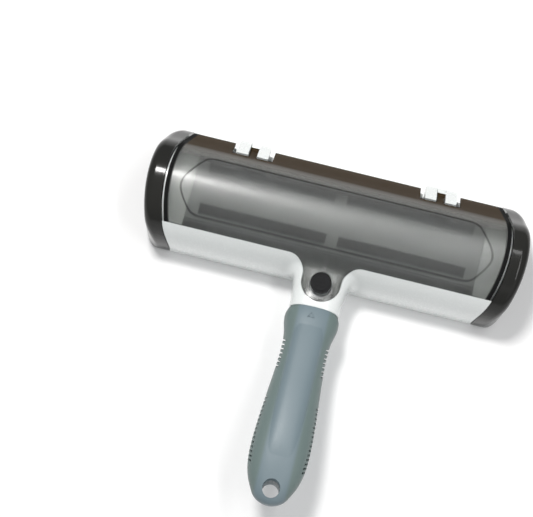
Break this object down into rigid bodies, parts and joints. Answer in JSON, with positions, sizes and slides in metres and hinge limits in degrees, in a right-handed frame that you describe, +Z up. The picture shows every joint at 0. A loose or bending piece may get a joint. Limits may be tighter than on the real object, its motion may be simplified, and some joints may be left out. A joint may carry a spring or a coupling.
{
  "type": "pet_hair_removal_brush",
  "caption": "T-shaped hand brush that rolls up pet hair: white head with smoke hinged cover, rocking pile drum, hair chamber, thumb latch and blue-grey grip with hang hole.",
  "frame": {"origin": "middle of the head's base, on the plane of the base rim that the brush rests on", "axes": "+X along the head, -Y from the head to the handle's tip, +Y the cover's hinge side, +Z up"},
  "size_m": [0.1928, 0.1785, 0.0513],
  "materials": {
    "white_plastic": "gloss",
    "smoke_plastic": "gloss, smoke translucent, lightly frosted",
    "dark_smoke_plastic": "gloss",
    "grip_plastic": "satin",
    "light_grey_plastic": "satin",
    "drum_plastic": "satin",
    "pile_fabric": "short pile",
    "dark_grey_fabric": "woven",
    "lip_rubber": "matte",
    "pad_rubber": "textured",
    "steel": "bright"
  },
  "bodies": {
    "base": {"housing": "white_plastic", "grip": "grip_plastic", "end_shell_left": "dark_smoke_plastic", "end_shell_right": "dark_smoke_plastic", "chamber_floor": "light_grey_plastic", "comb_ledge": "light_grey_plastic", "scraper_lip": "lip_rubber", "cleaning_strip_left": "dark_grey_fabric", "cleaning_strip_right": "dark_grey_fabric", "pivot_pin_left": "steel", "pivot_pin_right": "steel", "latch_spring": "steel"},
    "cover": {"cover": "smoke_plastic"},
    "drum": {"drum": "drum_plastic", "pile_strip": "pile_fabric", "drum_end_left": "light_grey_plastic", "drum_end_right": "light_grey_plastic"},
    "slider": {"release_slider": "light_grey_plastic", "slider_pad": "pad_rubber"}
  },
  "joints": [
    {"name": "cover_hinge", "type": "hinge", "parent": "base", "child": "cover", "pos_m": [0, 0.0272, 0.018], "axis": [-1, 0, 0], "range_deg": [0, 90]},
    {"name": "drum_rock", "type": "hinge", "parent": "base", "child": "drum", "pos_m": [0, 0.0025, 0.0206], "axis": [1, 0, 0], "range_deg": [-15, 15]},
    {"name": "release_slide", "type": "slide", "parent": "base", "child": "slider", "axis": [0, -1, 0], "range_m": [0, 0.0015], "stiffness_N_per_m": 300, "springref_m": -0.001, "deforming": ["latch_spring"]}
  ]
}
